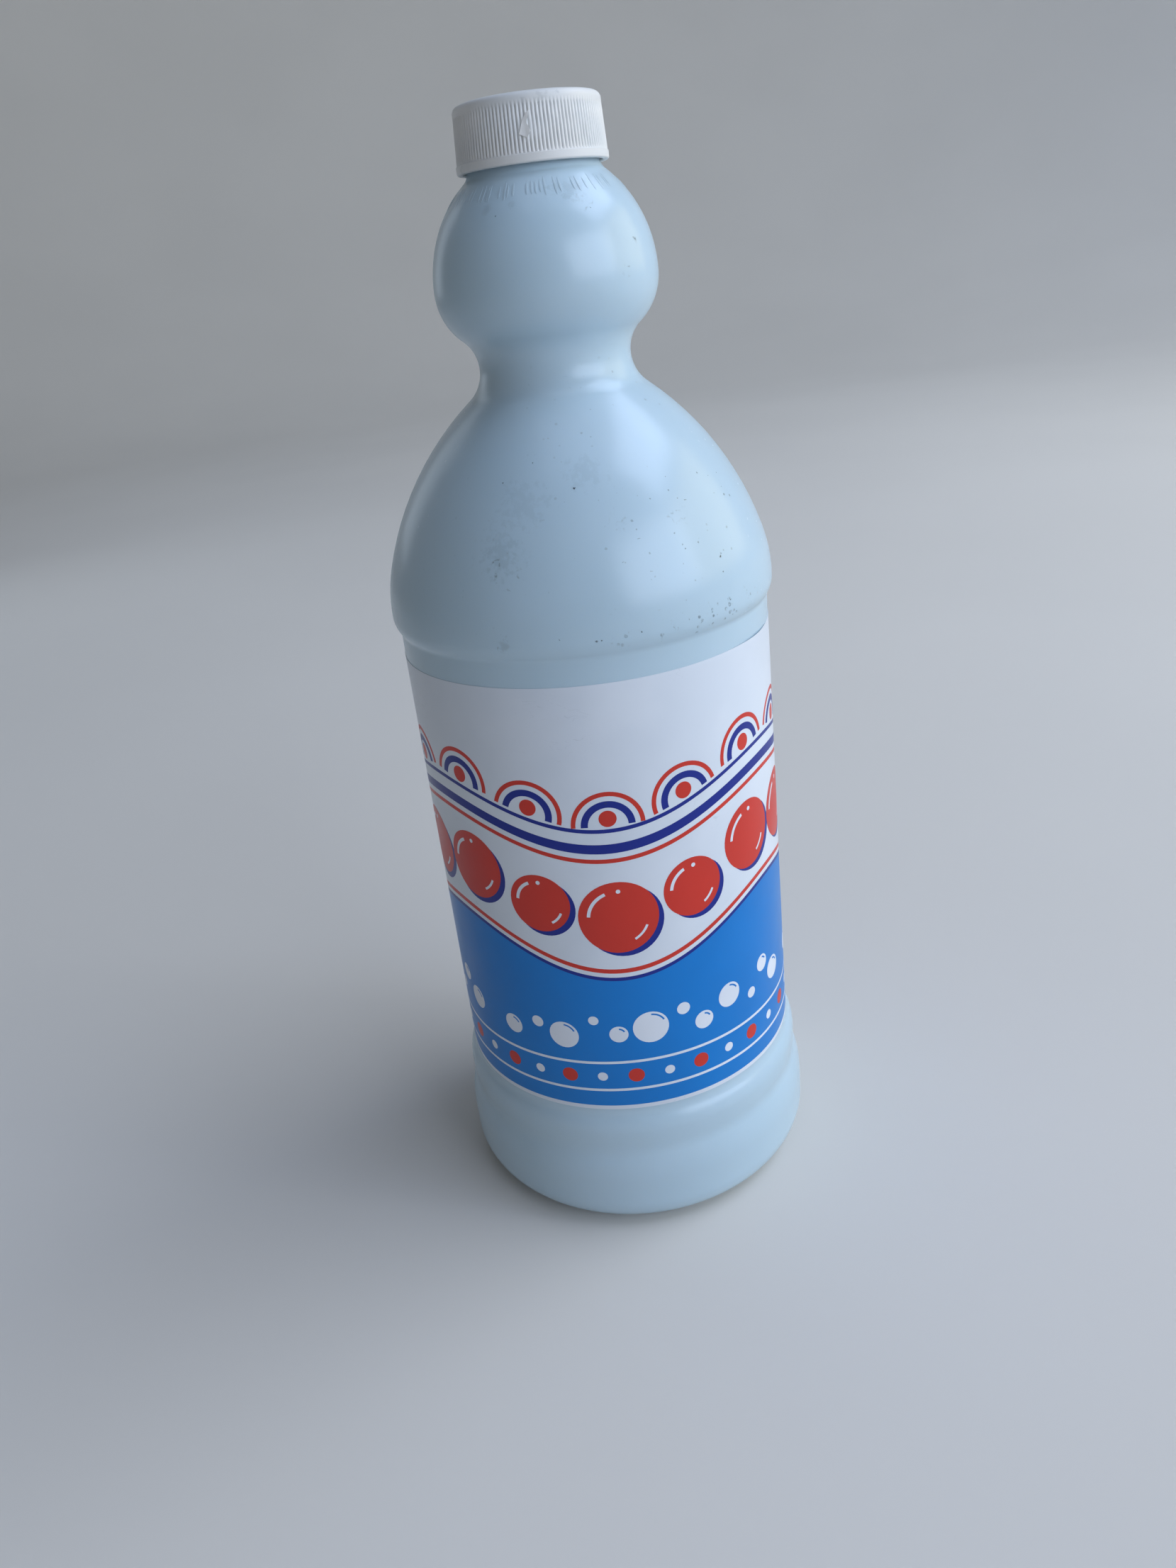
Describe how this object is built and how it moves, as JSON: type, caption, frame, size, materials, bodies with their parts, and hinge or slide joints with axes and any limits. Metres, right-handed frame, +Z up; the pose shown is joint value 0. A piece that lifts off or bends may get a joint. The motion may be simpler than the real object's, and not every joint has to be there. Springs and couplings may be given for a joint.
{
  "type": "bleach bottle",
  "caption": "Round blown plastic bottle with a grip bulb in its neck, a ribbed screw cap with its liner and a wrap-round label.",
  "frame": {"origin": "centre of the bottle's standing ring, on the surface it stands on", "axes": "+Z up the bottle's axis to the cap, -Y the front, +Y the label's lap"},
  "size_m": [0.0892, 0.0892, 0.2457],
  "materials": {
    "bottle": "satin blown polyethylene, pale blue",
    "cap": "satin moulded polypropylene, white",
    "liner": "soft foamed plastic, white",
    "label": "smooth printed film, white"
  },
  "bodies": {
    "bottle": {"bottle": "bottle", "label": "label"},
    "liner": {"cap_liner": "liner"},
    "cap": {"cap": "cap"}
  },
  "joints": [
    {"name": "cap_rise", "type": "slide", "parent": "bottle", "child": "liner", "axis": [0, 0, 1], "range_m": [0, 0.0128]},
    {"name": "cap_turn", "type": "hinge", "parent": "liner", "child": "cap", "pos_m": [0, 0, 0.2341], "axis": [0, 0, 1], "range_deg": [0, 1080]}
  ],
  "couplings": [
    {"joint": "cap_rise", "follows": "cap_turn", "m_per_rad": 0.0006737}
  ]
}
